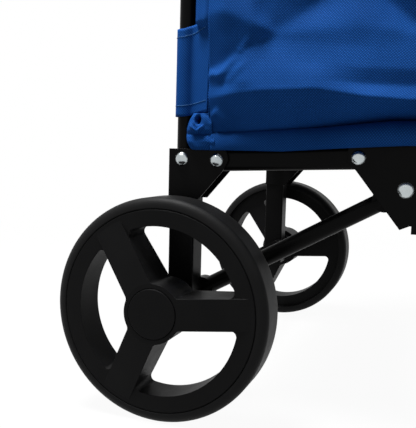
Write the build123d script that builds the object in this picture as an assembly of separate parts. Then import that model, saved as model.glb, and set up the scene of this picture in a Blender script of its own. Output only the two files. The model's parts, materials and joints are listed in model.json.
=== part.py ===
"""Folding fabric trolley on wheels: one solid or one group of equal solids per file.

Millimetres, +Z up, floor at Z = 0, +X towards the pull handle, +Y to the trolley's left.
The rear axle, the legs and the fold pivots carry all other positions.
"""
import os
from math import atan2, degrees, hypot

from build123d import *

# Wheels and where they stand
WHEEL_R = 100.0
WHEELBASE = 440.0
REAR_X = -200.0
FRONT_X = REAR_X + WHEELBASE
MID_X = REAR_X + WHEELBASE / 2
AXLE_Z = WHEEL_R
AXLE_R = 6.0
TRACK_HALF = 238.5
TREAD_WIDTH = 31.9
TREAD_EDGE = 4.6
SHOULDER_DROP = 9.0
SHOULDER_DEPTH = 7.0
RIM_R = 90.0
RIM_GROOVE = 0.9
RIM_DEPTH = 31.8
OPENING_R = 75.0
HUB_R = 26.5
HUB_RISE = 9.4
SPOKE_WIDTH = 27.5
SPOKE_RISE = 1.6
SPOKE_FADE_R = 86.0
SPOKES = 3
SPOKE_TURN = 4.0
OPENING_CORNER = 5.0
HUB_CAP_R = 22.0
HUB_CAP_DEPTH = 4.0
HUB_CAP_PROUD = 0.8
AXLE_SPACER = 12.0

# Running and assembly clearances
RUN = 0.05
GAP = 0.3
SIDE_GAP = 0.5

# Legs, posts and their brackets
WHEEL_INNER = TRACK_HALF - TREAD_WIDTH - TREAD_EDGE
LEG = 25.0
LEG_WALL = 2.0
LEG_CORNER = 2.0
LEG_OUT = WHEEL_INNER - SIDE_GAP - AXLE_SPACER
LEG_IN = LEG_OUT - LEG
LEG_Y = (LEG_OUT + LEG_IN) / 2
REAR_LEG_BOTTOM = 84.0
FRONT_LEG_BOTTOM = 160.0
SHEET = 2.0
BRACKET_TOP = 242.4
LEG_TOP = BRACKET_TOP - SHEET
BRACKET_LOW = 196.4
GUSSET_END_X = 45.5
GUSSET_KNEE_X = 39.6
GUSSET_KNEE_Z = 222.3
GUSSET_FOOT_X = 17.4
INNER_GUSSET_SHORT = 1.5
POST_R = 8.0
POST_OUT = 1.9
POST_X = REAR_X - POST_OUT
POST_WALL = 1.5
POST_BOTTOM = 190.0
HOOP_TOP = 590.0
HOOP_BEND = 55.0

# Fold pivots, measured from the rear axle line and the floor
CORNER_PIVOT_X = 34.0
CORNER_PIVOT_Z = 232.6
RAIL_PIVOT_IN = 59.4
RAIL_PIVOT_X = WHEELBASE / 2 - RAIL_PIVOT_IN
RAIL_PIVOT_Z = 238.1
STRUT_PIVOT_IN = 19.9
STRUT_PIVOT_X = WHEELBASE / 2 - STRUT_PIVOT_IN
STRUT_PIVOT_Z = 212.2
FRONT_PIN_Z = 175.0

# Rails, struts and floor boards
RAIL_HEIGHT = 20.0
RAIL_WIDTH = 24.0
RAIL_CORNER = 5.0
RAIL_WALL = 1.5
RAIL_END = 11.0
STRUT_R = 8.0
STRUT_WALL = 1.5
STRUT_INSET = 24.0
STRUT_Y = LEG_Y - STRUT_INSET
TONGUE_THICK = 14.0
TONGUE_WIDTH = 22.0
SLOTTED_WIDTH = 24.0
REAR_SLOT_PAST = 27.5
REAR_SLOT_BACK = 0.0
REAR_SLOT_PLAY = 0.25
FRONT_SLOT_PAST = 3.8
FRONT_SLOT_BACK = 22.8
FRONT_SLOT_PLAY = 1.4
BOARD = 6.0
BOARD_NOTCH = 20.0
BOARD_END = 6.0
BOARD_START = 14.0

# Centre plates
CHEEK_OUT = LEG_OUT
CHEEK_INSET = 32.0
CHEEK_IN = LEG_Y - CHEEK_INSET
PLATE_TOP = 250.0
PLATE_SHOULDER_X = 9.0
PLATE_SIDE_X = 1.8
PLATE_SIDE_Z = 227.4
PLATE_TIP_IN = 23.3
PLATE_TIP_Z = 179.1
PLATE_RISE_IN = 15.4
PLATE_RISE_Z = 182.6
PLATE_FOOT_HALF = 14.0
PLATE_FOOT_Z = 176.0
CROSS_R = 8.0
CROSS_WALL = 1.5
CENTRE_CROSS_Z = 192.0

# Rivets and pins
PIN_R = 4.0
HEAD_R = 6.5
BIG_HEAD_R = 7.1
HEAD_HEIGHT = 4.2
TAIL_R = 6.0
TAIL_HEIGHT = 1.2
SPACER_R = 7.0
AXLE_SPACER_R = 11.0
NUT_R = 10.0
NUT_HEIGHT = 5.0
LEG_RIVET_Z = 233.0

# Casters
CASTER_R = 60.0
CASTER_TRAIL = 30.0
CASTER_WIDTH = 30.0
CASTER_RIM_R = 50.0
CASTER_SHOULDER = 4.6
CASTER_OPENING_R = 40.0
CASTER_HUB_R = 15.0
CASTER_SPOKE = 13.0
CASTER_AXLE_R = 4.0
CASTER_NUT_R = 7.0
CASTER_NUT = 4.0
FORK_ARM = 4.0
FORK_ARM_WIDTH = 24.0
FORK_CLEAR = 2.0
FORK_INNER = CASTER_WIDTH / 2 + FORK_CLEAR
CROWN_LOW = 126.0
CROWN_TOP = 134.0
CROWN_R = 22.0
STEM_R = 7.0
STEM_TOP = 154.0
HOUSING_R = 16.0
HOUSING_PLUG = 12.0

# Bag
BAG_BOTTOM = 246.4
BAG_TOP = 580.0
CLOTH = 3.0
PANEL_IN = 12.0
PANEL_INSET = 13.0
PANEL_HALF_Y = LEG_Y - PANEL_INSET
SEAM_X = 24.0
SIDE_OUTSET = 18.0
SIDE_LINE = LEG_Y + SIDE_OUTSET
FOLD_OUT = 20.0
BULGE_SHARE = 0.143
UPPER_SHARE = 0.6
TOP_SHARE = 0.8
TAB_HEIGHT = 80.0
TAB_BELOW_BEND = 11.0
LOW_TAB_Z = 272.0
HIGH_TAB_Z = HOOP_TOP - POST_R - HOOP_BEND - TAB_BELOW_BEND - TAB_HEIGHT
TAB_CLOTH = 2.0
STRAP_WIDTH = 30.0
STRAP_LENGTH = 130.0
STRAP_RISE = 9.0
STRAP_CLOTH = 2.0

# Pull handle
HANDLE_PIVOT_OUT = 48.0
HANDLE_PIVOT_Z = 232.6
HANDLE_R = 11.0
HANDLE_PAST_HOOP = 27.6
HANDLE_LENGTH = HOOP_TOP - HANDLE_PIVOT_Z + HANDLE_PAST_HOOP
HANDLE_LUG_R = 12.0
INNER_R = 9.2
INNER_START = 45.0
INNER_OUT = 35.0
GRIP_R = 13.0
GRIP_LENGTH = 125.0
EAR_THICK = 3.0
EAR_GAP = 12.5
CLAMP_BACK = 11.5
CLAMP_FRONT = 16.0
CLAMP_HALF_Z = 11.5

RAIL_LENGTH = hypot(RAIL_PIVOT_X - CORNER_PIVOT_X, RAIL_PIVOT_Z - CORNER_PIVOT_Z)
RAIL_RISE = degrees(atan2(RAIL_PIVOT_Z - CORNER_PIVOT_Z, RAIL_PIVOT_X - CORNER_PIVOT_X))
OUTER_FACE = TRACK_HALF + TREAD_EDGE
HUB_FACE = OUTER_FACE + HUB_RISE
HANDLE_STOP_X = POST_OUT + POST_R + HANDLE_R + GAP
HANDLE_LEAN = degrees(atan2(HANDLE_PIVOT_OUT - HANDLE_STOP_X, HOOP_TOP - POST_R - HANDLE_PIVOT_Z))

os.makedirs("parts", exist_ok=True)


def save(name, *solids):
    """Write one node; several solids stay separate in the same file."""
    shape = solids[0] if len(solids) == 1 else Compound(children=list(solids))
    shape.label = name
    export_step(shape, f"parts/{name}.step")


def across(radius, x, z, y_low, y_high):
    """Round bar along Y between two Y values."""
    middle = (y_low + y_high) / 2
    return Pos(x, middle, z) * Rot(90, 0, 0) * Cylinder(radius, y_high - y_low)


def upright(radius, x, y, z_low, z_high):
    """Round bar along Z between two heights."""
    return Pos(x, y, (z_low + z_high) / 2) * Cylinder(radius, z_high - z_low)


def block(x_low, x_high, y_low, y_high, z_low, z_high):
    """Box between two corners."""
    middle = ((x_low + x_high) / 2, (y_low + y_high) / 2, (z_low + z_high) / 2)
    return Pos(*middle) * Box(x_high - x_low, y_high - y_low, z_high - z_low)


def sheet_xz(outline, y_low, y_high):
    """Flat piece cut from a sketch in X and Z, thick from y_low to y_high."""
    return extrude(Plane.XZ.offset(-y_low) * outline, amount=y_high - y_low, dir=(0, 1, 0))


def as_drawn(shape):
    """The piece where it was drawn."""
    return shape


def to_right(shape):
    """The same piece on the other side of the trolley."""
    return mirror(shape, about=Plane.XZ)


def to_front(shape):
    """The same piece at the other end of the trolley."""
    return mirror(shape, about=Plane.YZ.offset(MID_X))


def along_rail(shape):
    """Take a piece drawn along X from the corner pivot and lay it on the rail's line."""
    return Pos(REAR_X + CORNER_PIVOT_X, 0, CORNER_PIVOT_Z) * Rot(0, -RAIL_RISE, 0) * shape


def dome(radius, height, x, y, z):
    """Rivet head that stands on the plane at y and points to +Y."""
    ball = (radius**2 + height**2) / (2 * height)
    cap = Pos(x, y + height - ball, z) * Sphere(ball)
    return cap & block(x - ball, x + ball, y, y + ball, z - ball, z + ball)


def rivet(head_r, x, z, y_tail, y_head):
    """Rivet through plates from y_tail to y_head, dome outside and flat tail inside."""
    shank = across(PIN_R, x, z, y_tail, y_head)
    tail = across(TAIL_R, x, z, y_tail - TAIL_HEIGHT, y_tail)
    return shank + tail + dome(head_r, HEAD_HEIGHT, x, y_head, z)


def pin_hole(x, z, y_low, y_high, radius=PIN_R):
    """Running hole for a pin along Y."""
    return across(radius + RUN, x, z, y_low, y_high)


# Corner brackets and legs, drawn for the rear left corner
def gusset_outline(short):
    """Plate beside the leg, out to the corner pivot; short draws its sloping edge back to the leg."""
    left = REAR_X - LEG / 2
    gusset = Polygon(
        (left, BRACKET_LOW),
        (REAR_X + GUSSET_FOOT_X - short, BRACKET_LOW),
        (REAR_X + GUSSET_KNEE_X - short, GUSSET_KNEE_Z),
        (REAR_X + GUSSET_END_X, CORNER_PIVOT_Z),
        (REAR_X + GUSSET_END_X - SHEET, BRACKET_TOP),
        (left, BRACKET_TOP),
        align=None,
    )
    right_end = gusset.vertices().sort_by(Axis.X)[-3:]
    return fillet(right_end, HEAD_R)


def corner_bracket():
    """Folded sheet: an outer and an inner gusset joined over the leg's top."""
    outer = sheet_xz(gusset_outline(0), LEG_OUT, LEG_OUT + SHEET)
    inner = sheet_xz(gusset_outline(INNER_GUSSET_SHORT), LEG_IN - SHEET, LEG_IN)
    roof = block(REAR_X - LEG / 2, REAR_X + LEG / 2, LEG_IN, LEG_OUT, LEG_TOP, BRACKET_TOP)
    bracket = outer + inner + roof
    bracket -= upright(POST_R + RUN, POST_X, LEG_Y, LEG_TOP - SHEET, BRACKET_TOP + SHEET)
    for x, z in ((REAR_X, LEG_RIVET_Z), (REAR_X + CORNER_PIVOT_X, CORNER_PIVOT_Z)):
        bracket -= pin_hole(x, z, LEG_IN - LEG, LEG_OUT + LEG)
    return bracket


def leg(bottom, low_pin_z, low_pin_r):
    """Square tube with the hole for its rivet and for the low pin or axle."""
    outside = RectangleRounded(LEG, LEG, LEG_CORNER)
    inside = Rectangle(LEG - 2 * LEG_WALL, LEG - 2 * LEG_WALL)
    tube = extrude(Pos(REAR_X, LEG_Y, bottom) * (outside - inside), amount=LEG_TOP - bottom)
    tube -= pin_hole(REAR_X, LEG_RIVET_Z, LEG_IN - LEG, LEG_OUT + LEG)
    tube -= pin_hole(REAR_X, low_pin_z, LEG_IN - LEG, LEG_OUT + LEG, low_pin_r)
    return tube


def hoop():
    """Bent tube: two posts and the top bar, with the holes for the leg rivets."""
    top = HOOP_TOP - POST_R
    path = FilletPolyline(
        (POST_X, -LEG_Y, POST_BOTTOM),
        (POST_X, -LEG_Y, top),
        (POST_X, LEG_Y, top),
        (POST_X, LEG_Y, POST_BOTTOM),
        radius=HOOP_BEND,
    )
    ring = Circle(POST_R) - Circle(POST_R - POST_WALL)
    tube = sweep(Plane((POST_X, -LEG_Y, POST_BOTTOM), z_dir=(0, 0, 1)) * ring, path=path)
    return tube - pin_hole(REAR_X, LEG_RIVET_Z, -LEG_OUT, LEG_OUT)


def tube_across(x, z, half):
    """Cross tube between the two inner corner plates."""
    return across(CROSS_R, x, z, -half, half) - across(CROSS_R - CROSS_WALL, x, z, -half, half)


bracket = corner_bracket()
rear_leg = leg(REAR_LEG_BOTTOM, AXLE_Z, AXLE_R)
front_leg = to_front(leg(FRONT_LEG_BOTTOM, FRONT_PIN_Z, PIN_R))
rear_hoop = hoop()
cross_half = LEG_IN - SHEET
rear_cross_tube = tube_across(REAR_X, LEG_RIVET_Z, cross_half - TAIL_HEIGHT)

save("rear_bracket_l", bracket)
save("rear_bracket_r", to_right(bracket))
save("front_bracket_l", to_front(bracket))
save("front_bracket_r", to_front(to_right(bracket)))
save("rear_leg_l", rear_leg)
save("rear_leg_r", to_right(rear_leg))
save("front_leg_l", front_leg)
save("front_leg_r", to_right(front_leg))
save("rear_hoop", rear_hoop)
save("front_hoop", to_front(rear_hoop))
save("rear_cross_tube", rear_cross_tube)
save("front_cross_tube", to_front(rear_cross_tube))

leg_rivet = rivet(HEAD_R, REAR_X, LEG_RIVET_Z, LEG_IN - SHEET, LEG_OUT + SHEET)
corner_rivet = rivet(HEAD_R, REAR_X + CORNER_PIVOT_X, CORNER_PIVOT_Z, LEG_IN - SHEET, LEG_OUT + SHEET)
rear_rivets = [leg_rivet, corner_rivet, to_right(leg_rivet), to_right(corner_rivet)]
front_pin_tail = STRUT_Y - TONGUE_THICK / 2 - SIDE_GAP
front_pin = to_front(rivet(HEAD_R, REAR_X, FRONT_PIN_Z, front_pin_tail, LEG_OUT))
save("rear_rivets", *rear_rivets)
save("front_rivets", *[to_front(one) for one in rear_rivets], front_pin, to_right(front_pin))

# Rear axle with spacers and end nuts
nut_face = OUTER_FACE - SIDE_GAP
axle_half = nut_face + NUT_HEIGHT
rear_axle = across(AXLE_R, REAR_X, AXLE_Z, -axle_half, axle_half)
spacer_end = WHEEL_INNER - SIDE_GAP
spacer = across(AXLE_SPACER_R, REAR_X, AXLE_Z, LEG_OUT, spacer_end)
spacer -= across(AXLE_R + RUN, REAR_X, AXLE_Z, LEG_OUT, spacer_end)
nut = extrude(RegularPolygon(NUT_R, 6), amount=NUT_HEIGHT)
nut = Pos(REAR_X, nut_face, AXLE_Z) * Rot(-90, 0, 0) * nut
nut -= across(AXLE_R + RUN, REAR_X, AXLE_Z, nut_face - NUT_HEIGHT, axle_half + NUT_HEIGHT)
save("rear_axle", rear_axle)
save("rear_axle_spacers", spacer, to_right(spacer))
save("rear_axle_nuts", nut, to_right(nut))


# Rails, struts and floor boards
def rail():
    """Rounded tube from the corner pivot to the centre pivot, with its two pin holes."""
    outside = RectangleRounded(RAIL_WIDTH, RAIL_HEIGHT, RAIL_CORNER)
    inner_corner = RAIL_CORNER - RAIL_WALL
    inside = RectangleRounded(RAIL_WIDTH - 2 * RAIL_WALL, RAIL_HEIGHT - 2 * RAIL_WALL, inner_corner)
    start = Plane((-RAIL_END, LEG_Y, 0), x_dir=(0, 1, 0), z_dir=(1, 0, 0))
    tube = extrude(start * (outside - inside), amount=RAIL_LENGTH + 2 * RAIL_END)
    for x in (0, RAIL_LENGTH):
        tube -= pin_hole(x, 0, LEG_IN, LEG_OUT)
    return along_rail(tube)


def end_board():
    """Stiff floor board held between the two rails, narrow at both ends where plates and struts swing."""
    board_end = RAIL_LENGTH - BOARD_END
    wide_half = LEG_Y - RAIL_WIDTH / 2
    narrow_half = CHEEK_IN - SHEET - SIDE_GAP
    narrow = block(BOARD_START, board_end, -narrow_half, narrow_half, -BOARD / 2, BOARD / 2)
    wide_start = BOARD_START + BOARD_NOTCH
    wide_end = board_end - BOARD_NOTCH
    wide = block(wide_start, wide_end, -wide_half, wide_half, -BOARD / 2, BOARD / 2)
    return along_rail(narrow + wide)


def slot_between(start, end, width):
    """Round-ended slot along X between two end centres."""
    return Pos((start + end) / 2, 0) * SlotCenterToCenter(end - start, width)


def strut(low_z, pin_r, slot_past, slot_back, slot_play):
    """Round tube with flat ends: a hole at the centre plate and a slot about the leg's pin.

    At rest the slot runs past the pin by slot_past and back along the tube by slot_back.
    """
    length = hypot(STRUT_PIVOT_X, STRUT_PIVOT_Z - low_z)
    angle = degrees(atan2(STRUT_PIVOT_Z - low_z, STRUT_PIVOT_X))
    tube_start = slot_back + SLOTTED_WIDTH / 2
    tube_end = length - TONGUE_WIDTH / 2
    tube = Rot(0, 90, 0) * (Cylinder(STRUT_R, tube_end - tube_start) - Cylinder(STRUT_R - STRUT_WALL, length))
    body = Pos((tube_start + tube_end) / 2, 0, 0) * tube
    half = TONGUE_THICK / 2
    body += sheet_xz(slot_between(-slot_past, tube_start, SLOTTED_WIDTH), -half, half)
    body += sheet_xz(slot_between(length - TONGUE_WIDTH, length, TONGUE_WIDTH), -half, half)
    body -= pin_hole(length, 0, -2 * half, 2 * half)
    body -= sheet_xz(slot_between(-slot_past, slot_back, 2 * (pin_r + slot_play)), -2 * half, 2 * half)
    return Pos(REAR_X, STRUT_Y, low_z) * Rot(0, -angle, 0) * body


rear_rail = rail()
rear_board = end_board()
rear_strut = strut(AXLE_Z, AXLE_R, REAR_SLOT_PAST, REAR_SLOT_BACK, REAR_SLOT_PLAY)
front_strut = to_front(strut(FRONT_PIN_Z, PIN_R, FRONT_SLOT_PAST, FRONT_SLOT_BACK, FRONT_SLOT_PLAY))
save("rear_rail_l", rear_rail)
save("rear_rail_r", to_right(rear_rail))
save("front_rail_l", to_front(rear_rail))
save("front_rail_r", to_front(to_right(rear_rail)))
save("rear_floor_board", rear_board)
save("front_floor_board", to_front(rear_board))
save("rear_strut_l", rear_strut)
save("rear_strut_r", to_right(rear_strut))
save("front_strut_l", front_strut)
save("front_strut_r", to_right(front_strut))

# Centre plates, their pins and what they carry
pivots = [
    (REAR_X + RAIL_PIVOT_X, RAIL_PIVOT_Z, HEAD_R),
    (REAR_X + STRUT_PIVOT_X, STRUT_PIVOT_Z, BIG_HEAD_R),
]


def centre_outline():
    """Half of the plate's outline, then its mirror image."""
    side_x = REAR_X + RAIL_PIVOT_X - PLATE_SIDE_X
    half = Polygon(
        (MID_X, PLATE_TOP),
        (REAR_X + RAIL_PIVOT_X - PLATE_SHOULDER_X, PLATE_TOP),
        (REAR_X + RAIL_PIVOT_X - PLATE_SHOULDER_X, RAIL_PIVOT_Z - PIN_R),
        (side_x, PLATE_SIDE_Z),
        (MID_X - PLATE_TIP_IN, PLATE_TIP_Z),
        (MID_X - PLATE_RISE_IN, PLATE_RISE_Z),
        (MID_X - PLATE_FOOT_HALF, PLATE_RISE_Z),
        (MID_X - PLATE_FOOT_HALF, PLATE_FOOT_Z),
        (MID_X, PLATE_FOOT_Z),
        align=None,
    )
    half = fillet(half.vertices().sort_by(Axis.X)[0:2], HEAD_R)
    return half + mirror(half, about=Plane.YZ.offset(MID_X))


def centre_plate(y_low, y_high):
    """Plate with holes for the four pins and the cross tube."""
    plate = sheet_xz(centre_outline(), y_low, y_high)
    for x, z, _ in pivots:
        hole = pin_hole(x, z, y_low - SHEET, y_high + SHEET)
        plate -= hole
        plate -= to_front(hole)
    return plate


outer_plate = centre_plate(CHEEK_OUT, CHEEK_OUT + SHEET)
inner_plate = centre_plate(CHEEK_IN - SHEET, CHEEK_IN)
inner_plate -= across(CROSS_R + RUN, MID_X, CENTRE_CROSS_Z, CHEEK_IN - 2 * SHEET, CHEEK_IN + SHEET)
centre_pins = []
centre_spacers = []
spacer_spans = [
    (CHEEK_IN, LEG_Y - RAIL_WIDTH / 2 - SIDE_GAP),
    (STRUT_Y + TONGUE_THICK / 2 + SIDE_GAP, CHEEK_OUT),
]
for (x, z, head_r), (y_low, y_high) in zip(pivots, spacer_spans):
    pin = rivet(head_r, x, z, CHEEK_IN - SHEET, CHEEK_OUT + SHEET)
    ring = across(SPACER_R, x, z, y_low, y_high) - across(PIN_R + RUN, x, z, y_low, y_high)
    for end in (as_drawn, to_front):
        centre_pins += [end(pin), to_right(end(pin))]
        centre_spacers += [end(ring), to_right(end(ring))]
save("centre_plates_outer", outer_plate, to_right(outer_plate))
save("centre_plates_inner", inner_plate, to_right(inner_plate))
save("centre_rivets", *centre_pins)
save("centre_spacers", *centre_spacers)
save("centre_cross_tube", tube_across(MID_X, CENTRE_CROSS_Z, CHEEK_OUT))

board_half_x = MID_X - REAR_X - RAIL_PIVOT_X - BOARD_END
board_half_y = CHEEK_IN - SHEET
board_top = RAIL_PIVOT_Z + BOARD / 2
centre_board = block(
    MID_X - board_half_x, MID_X + board_half_x, -board_half_y, board_half_y, board_top - BOARD, board_top
)
for x, z, _ in pivots:
    tail_room = across(TAIL_R + GAP, x, z, board_half_y - TAIL_HEIGHT - GAP, board_half_y)
    for hole in (tail_room, to_front(tail_room)):
        centre_board -= hole
        centre_board -= to_right(hole)
save("centre_floor_board", centre_board)

strap_half = STRAP_LENGTH / 2
strap_path = Polyline(
    (MID_X, -strap_half, board_top + STRAP_CLOTH / 2),
    (MID_X, -strap_half + STRAP_WIDTH, board_top + STRAP_CLOTH / 2),
    (MID_X, -strap_half + 2 * STRAP_WIDTH, board_top + STRAP_RISE),
    (MID_X, strap_half - 2 * STRAP_WIDTH, board_top + STRAP_RISE),
    (MID_X, strap_half - STRAP_WIDTH, board_top + STRAP_CLOTH / 2),
    (MID_X, strap_half, board_top + STRAP_CLOTH / 2),
)
strap_start = Plane((MID_X, -strap_half, board_top + STRAP_CLOTH / 2), x_dir=(1, 0, 0), z_dir=(0, 1, 0))
strap = sweep(strap_start * Rectangle(STRAP_WIDTH, STRAP_CLOTH), path=strap_path, transition=Transition.RIGHT)
save("fold_strap", strap)


# Wheels
def spoke_bars(length, width):
    """Sketch of the spokes from the middle outwards."""
    bars = Sketch()
    for index in range(SPOKES):
        bars += Rot(0, 0, SPOKE_TURN + index * 360 / SPOKES) * Pos(length / 2, 0) * Rectangle(length, width)
    return bars


def spoked_rim(rim_r, opening_r, hub_r, spoke, corner, y_low, y_high, bore_r):
    """Moulded wheel centre about the Y axis with round-cornered openings between the spokes."""
    openings = Circle(opening_r) - Circle(hub_r) - spoke_bars(rim_r, spoke)
    openings = fillet(openings.vertices(), corner)
    disc = Circle(rim_r) - openings - Circle(bore_r)
    return sheet_xz(disc, y_low, y_high)


def raised_spokes():
    """Spokes and hub that stand proud of the rim's face, most at the hub."""
    star = Circle(HUB_R) + spoke_bars(SPOKE_FADE_R, SPOKE_WIDTH)
    inner_corners = [corner for corner in star.vertices() if hypot(corner.X, corner.Y) < OPENING_R]
    star = fillet(inner_corners, OPENING_CORNER)
    section = Polygon(
        (0, OUTER_FACE),
        (SPOKE_FADE_R, OUTER_FACE),
        (OPENING_R, OUTER_FACE + SPOKE_RISE),
        (HUB_R, HUB_FACE),
        (0, HUB_FACE),
        align=None,
    )
    return sheet_xz(star, OUTER_FACE, HUB_FACE) & revolve(section, axis=Axis.Y)


def tyre(outer_r, inner_r, y_low, y_high, drop, depth):
    """Tyre ring about the Y axis; its shoulders fall by drop over a depth on each side."""
    turn_r = outer_r - drop
    high_arc = EllipticalCenterArc((turn_r, y_high - depth), drop, depth, start_angle=0, arc_size=90)
    low_arc = EllipticalCenterArc((turn_r, y_low + depth), drop, depth, start_angle=270, arc_size=90)
    side_lines = [
        Line((turn_r, y_high), (inner_r, y_high)),
        Line((inner_r, y_high), (inner_r, y_low)),
        Line((inner_r, y_low), (turn_r, y_low)),
        Line((outer_r, y_low + depth), (outer_r, y_high - depth)),
    ]
    return revolve(make_face([high_arc, low_arc, *side_lines]), axis=Axis.Y)


def at_rear_wheel(shape):
    """Take a piece drawn about the Y axis to the rear axle."""
    return Pos(REAR_X, 0, AXLE_Z) * shape


rim_back = OUTER_FACE - RIM_DEPTH
bore = Circle(AXLE_R + RUN)
rear_rim = spoked_rim(
    RIM_R - RUN, OPENING_R, HUB_R, SPOKE_WIDTH, OPENING_CORNER, rim_back, OUTER_FACE, AXLE_R + RUN
)
hub_back = sheet_xz(Circle(HUB_R - OPENING_CORNER) - bore, WHEEL_INNER, rim_back)
cap_seat = HUB_FACE - HUB_CAP_DEPTH
groove = Polygon(
    (RIM_R - RIM_GROOVE, OUTER_FACE),
    (RIM_R + RIM_GROOVE, OUTER_FACE),
    (RIM_R, OUTER_FACE - RIM_GROOVE),
    align=None,
)
groove = revolve(groove, axis=Axis.Y)
rear_rim += hub_back
rear_rim += raised_spokes()
rear_rim -= sheet_xz(Circle(NUT_R + SIDE_GAP), nut_face - SIDE_GAP, cap_seat)
rear_rim -= sheet_xz(Circle(HUB_CAP_R + SIDE_GAP), cap_seat, HUB_FACE)
rear_rim = at_rear_wheel(rear_rim - groove)
rear_tyre = tyre(WHEEL_R, RIM_R, WHEEL_INNER, OUTER_FACE, SHOULDER_DROP, SHOULDER_DEPTH)
rear_tyre = at_rear_wheel(rear_tyre - groove)
cap = sheet_xz(Circle(HUB_CAP_R), cap_seat, HUB_FACE + HUB_CAP_PROUD)
cap = at_rear_wheel(fillet(cap.edges().group_by(Axis.Y)[-1], HUB_CAP_PROUD))
for side, place in (("l", as_drawn), ("r", to_right)):
    save(f"rear_rim_{side}", place(rear_rim))
    save(f"rear_tyre_{side}", place(rear_tyre))
    save(f"rear_hub_cap_{side}", place(cap))

# Casters under the front legs
caster_x = FRONT_X - CASTER_TRAIL
housing = upright(HOUSING_R, FRONT_X, LEG_Y, CROWN_TOP + SIDE_GAP, FRONT_LEG_BOTTOM)
plug = LEG - 2 * LEG_WALL - 2 * RUN
plug_top = FRONT_LEG_BOTTOM + HOUSING_PLUG - PIN_R
housing += block(
    FRONT_X - plug / 2, FRONT_X + plug / 2, LEG_Y - plug / 2, LEG_Y + plug / 2, FRONT_LEG_BOTTOM, plug_top
)
housing -= upright(STEM_R + RUN, FRONT_X, LEG_Y, CROWN_TOP, STEM_TOP + SIDE_GAP)
save("caster_housings", housing, to_right(housing))

arm_y = FORK_INNER + FORK_ARM
crown = upright(CROWN_R, FRONT_X, LEG_Y, CROWN_LOW, CROWN_TOP)
crown += block(caster_x - FORK_ARM_WIDTH / 2, FRONT_X, LEG_Y - arm_y, LEG_Y + arm_y, CROWN_LOW, CROWN_TOP)
fork = crown + upright(STEM_R, FRONT_X, LEG_Y, CROWN_TOP, STEM_TOP)
arm_outline = Polygon(
    (caster_x - FORK_ARM_WIDTH / 2, CASTER_R),
    (caster_x + FORK_ARM_WIDTH / 2, CASTER_R),
    (FRONT_X, CROWN_LOW),
    (caster_x - FORK_ARM_WIDTH / 2, CROWN_LOW),
    align=None,
)
arm_outline += Pos(caster_x, CASTER_R) * Circle(FORK_ARM_WIDTH / 2)
for y_low in (LEG_Y - arm_y, LEG_Y + FORK_INNER):
    fork += sheet_xz(arm_outline, y_low, y_low + FORK_ARM)
fork -= pin_hole(caster_x, CASTER_R, LEG_Y - 2 * arm_y, LEG_Y + 2 * arm_y, CASTER_AXLE_R)
caster_axle = across(CASTER_AXLE_R, caster_x, CASTER_R, LEG_Y - arm_y, LEG_Y + arm_y)
caster_axle += across(CASTER_NUT_R, caster_x, CASTER_R, LEG_Y + arm_y, LEG_Y + arm_y + CASTER_NUT)
caster_axle += across(CASTER_NUT_R, caster_x, CASTER_R, LEG_Y - arm_y - CASTER_NUT, LEG_Y - arm_y)
half_width = CASTER_WIDTH / 2
caster_rim = spoked_rim(
    CASTER_RIM_R - RUN,
    CASTER_OPENING_R,
    CASTER_HUB_R,
    CASTER_SPOKE,
    OPENING_CORNER / 2,
    -half_width + OPENING_CORNER / 2,
    half_width - OPENING_CORNER / 2,
    CASTER_AXLE_R + RUN,
)
hub_half = FORK_INNER - SIDE_GAP
caster_hub = sheet_xz(Circle(CASTER_HUB_R - OPENING_CORNER / 2), -hub_half, hub_half)
caster_rim += caster_hub - across(CASTER_AXLE_R + RUN, 0, 0, -FORK_INNER, FORK_INNER)
caster_place = Pos(caster_x, LEG_Y, CASTER_R)
caster_rim = caster_place * caster_rim
caster_tyre = tyre(CASTER_R, CASTER_RIM_R, -half_width, half_width, CASTER_SHOULDER, CASTER_SHOULDER)
caster_tyre = caster_place * caster_tyre
for side, place in (("l", as_drawn), ("r", to_right)):
    save(f"caster_fork_{side}", place(fork))
    save(f"caster_axle_{side}", place(caster_axle))
    save(f"front_rim_{side}", place(caster_rim))
    save(f"front_tyre_{side}", place(caster_tyre))


# Bag panels and the tabs that hold them on the posts
def post_tab(bottom):
    """Cloth loop round the post with a tail to the corner seam."""
    top = bottom + TAB_HEIGHT
    loop_r = POST_R + RUN + TAB_CLOTH
    seam = (REAR_X + SEAM_X - CLOTH, SIDE_LINE - CLOTH / 2)
    run = hypot(seam[0] - POST_X, seam[1] - LEG_Y)
    turn = degrees(atan2(seam[1] - LEG_Y, seam[0] - POST_X))
    tail = Pos(POST_X, LEG_Y, 0) * Rot(0, 0, turn) * block(0, run, -TAB_CLOTH / 2, TAB_CLOTH / 2, bottom, top)
    loop = upright(loop_r, POST_X, LEG_Y, bottom, top) + tail
    return loop - upright(POST_R + RUN, POST_X, LEG_Y, bottom, top)


def end_panel():
    """Cloth panel between the posts, with side wings that run to the corner seams."""
    x_low = REAR_X + PANEL_IN
    seam_x = REAR_X + SEAM_X
    seam_y = SIDE_LINE - CLOTH
    half = Polygon(
        (x_low, 0),
        (x_low, PANEL_HALF_Y),
        (seam_x - CLOTH, seam_y),
        (seam_x, seam_y),
        (x_low + CLOTH, PANEL_HALF_Y - CLOTH),
        (x_low + CLOTH, 0),
        align=None,
    )
    outline = half + mirror(half, about=Plane.XZ)
    return extrude(Pos(0, 0, BAG_BOTTOM) * outline, amount=BAG_TOP - BAG_BOTTOM, dir=(0, 0, 1))


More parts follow.
